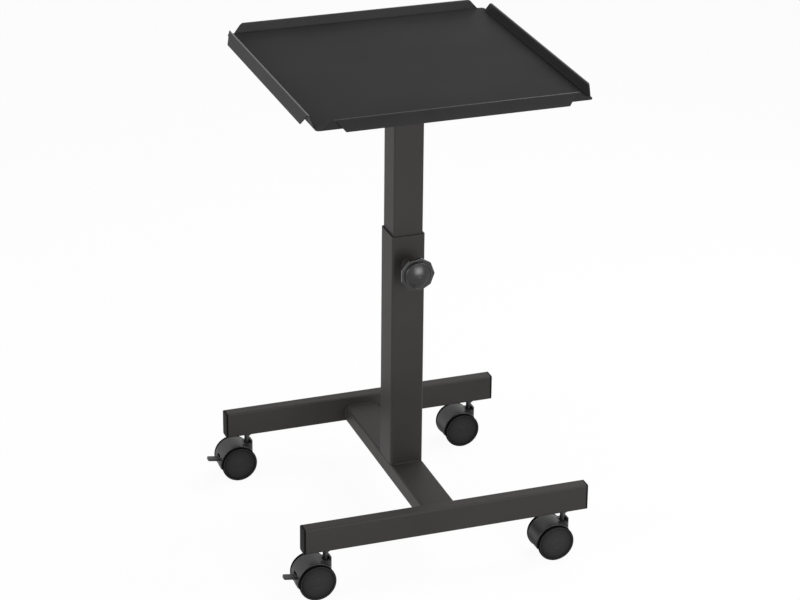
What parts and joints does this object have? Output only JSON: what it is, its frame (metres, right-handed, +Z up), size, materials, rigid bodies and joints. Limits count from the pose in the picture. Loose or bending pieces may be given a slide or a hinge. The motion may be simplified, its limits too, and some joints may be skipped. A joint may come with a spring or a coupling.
{
  "type": "portable projector stand",
  "caption": "Rolling projector stand: a rimmed square tray on a telescopic square column with a clamp knob, on an H-shaped tube base with braked twin-wheel casters.",
  "frame": {"origin": "on the floor, at the centre of the stand's bounding box", "axes": "+X along the legs, away from the braked casters; +Y to the back, away from the clamp knob; +Z up"},
  "size_m": [0.4624, 0.4384, 0.7215],
  "materials": {
    "frame_paint": "satin black powder coat",
    "tray_paint": "smooth satin black powder coat",
    "cap_plastic": "matte black moulded plastic",
    "knob_plastic": "satin black moulded plastic",
    "caster_plastic": "satin black moulded nylon",
    "wheel_plastic": "matte black moulded nylon",
    "lever_plastic": "satin black moulded nylon",
    "steel": "dull zinc-plated steel"
  },
  "bodies": {
    "base": {"cross_tube": "frame_paint", "front_leg": "frame_paint", "back_leg": "frame_paint", "front_leg_cap_left": "cap_plastic", "front_leg_cap_right": "cap_plastic", "back_leg_cap_left": "cap_plastic", "back_leg_cap_right": "cap_plastic", "outer_column": "frame_paint", "clamp_boss": "frame_paint", "front_left_caster_stem": "steel", "front_right_caster_stem": "steel", "back_left_caster_stem": "steel", "back_right_caster_stem": "steel"},
    "upper": {"inner_column": "frame_paint", "tray_mounting_plate": "frame_paint", "tray": "tray_paint"},
    "clamp": {"knob": "knob_plastic", "clamp_screw": "steel"},
    "front_left_caster": {"front_left_caster_body": "caster_plastic", "front_left_caster_axle": "steel"},
    "front_left_wheel_front": {"front_left_wheel_front": "wheel_plastic"},
    "front_left_wheel_back": {"front_left_wheel_back": "wheel_plastic"},
    "front_left_brake_lever": {"front_left_brake_lever": "lever_plastic"},
    "front_right_caster": {"front_right_caster_body": "caster_plastic", "front_right_caster_axle": "steel"},
    "front_right_wheel_front": {"front_right_wheel_front": "wheel_plastic"},
    "front_right_wheel_back": {"front_right_wheel_back": "wheel_plastic"},
    "back_left_caster": {"back_left_caster_body": "caster_plastic", "back_left_caster_axle": "steel"},
    "back_left_wheel_front": {"back_left_wheel_front": "wheel_plastic"},
    "back_left_wheel_back": {"back_left_wheel_back": "wheel_plastic"},
    "back_left_brake_lever": {"back_left_brake_lever": "lever_plastic"},
    "back_right_caster": {"back_right_caster_body": "caster_plastic", "back_right_caster_axle": "steel"},
    "back_right_wheel_front": {"back_right_wheel_front": "wheel_plastic"},
    "back_right_wheel_back": {"back_right_wheel_back": "wheel_plastic"}
  },
  "joints": [
    {"name": "column_slide", "type": "slide", "parent": "base", "child": "upper", "axis": [0, 0, 1], "range_m": [-0.24, 0.02]},
    {"name": "knob_turn", "type": "hinge", "parent": "base", "child": "clamp", "pos_m": [0.01415, -0.025, 0.413], "axis": [0, -1, 0], "range_deg": [0, 720]},
    {"name": "front_left_swivel", "type": "hinge", "parent": "base", "child": "front_left_caster", "pos_m": [-0.16785, -0.193, 0.05], "axis": [0, 0, 1], "continuous": true},
    {"name": "front_left_wheel_front_roll", "type": "hinge", "parent": "front_left_caster", "child": "front_left_wheel_front", "pos_m": [-0.18635, -0.211, 0.0275], "axis": [0, 1, 0], "continuous": true},
    {"name": "front_left_wheel_back_roll", "type": "hinge", "parent": "front_left_caster", "child": "front_left_wheel_back", "pos_m": [-0.18635, -0.175, 0.0275], "axis": [0, 1, 0], "continuous": true},
    {"name": "front_left_brake_tilt", "type": "hinge", "parent": "front_left_caster", "child": "front_left_brake_lever", "pos_m": [-0.20624, -0.193, 0.02959], "axis": [0, 1, 0], "range_deg": [0, 15]},
    {"name": "front_right_swivel", "type": "hinge", "parent": "base", "child": "front_right_caster", "pos_m": [0.19615, -0.193, 0.05], "axis": [0, 0, 1], "continuous": true},
    {"name": "front_right_wheel_front_roll", "type": "hinge", "parent": "front_right_caster", "child": "front_right_wheel_front", "pos_m": [0.17765, -0.211, 0.0275], "axis": [0, 1, 0], "continuous": true},
    {"name": "front_right_wheel_back_roll", "type": "hinge", "parent": "front_right_caster", "child": "front_right_wheel_back", "pos_m": [0.17765, -0.175, 0.0275], "axis": [0, 1, 0], "continuous": true},
    {"name": "back_left_swivel", "type": "hinge", "parent": "base", "child": "back_left_caster", "pos_m": [-0.16785, 0.193, 0.05], "axis": [0, 0, 1], "continuous": true},
    {"name": "back_left_wheel_front_roll", "type": "hinge", "parent": "back_left_caster", "child": "back_left_wheel_front", "pos_m": [-0.18635, 0.175, 0.0275], "axis": [0, 1, 0], "continuous": true},
    {"name": "back_left_wheel_back_roll", "type": "hinge", "parent": "back_left_caster", "child": "back_left_wheel_back", "pos_m": [-0.18635, 0.211, 0.0275], "axis": [0, 1, 0], "continuous": true},
    {"name": "back_left_brake_tilt", "type": "hinge", "parent": "back_left_caster", "child": "back_left_brake_lever", "pos_m": [-0.20624, 0.193, 0.02959], "axis": [0, 1, 0], "range_deg": [0, 15]},
    {"name": "back_right_swivel", "type": "hinge", "parent": "base", "child": "back_right_caster", "pos_m": [0.19615, 0.193, 0.05], "axis": [0, 0, 1], "continuous": true},
    {"name": "back_right_wheel_front_roll", "type": "hinge", "parent": "back_right_caster", "child": "back_right_wheel_front", "pos_m": [0.17765, 0.175, 0.0275], "axis": [0, 1, 0], "continuous": true},
    {"name": "back_right_wheel_back_roll", "type": "hinge", "parent": "back_right_caster", "child": "back_right_wheel_back", "pos_m": [0.17765, 0.211, 0.0275], "axis": [0, 1, 0], "continuous": true}
  ]
}
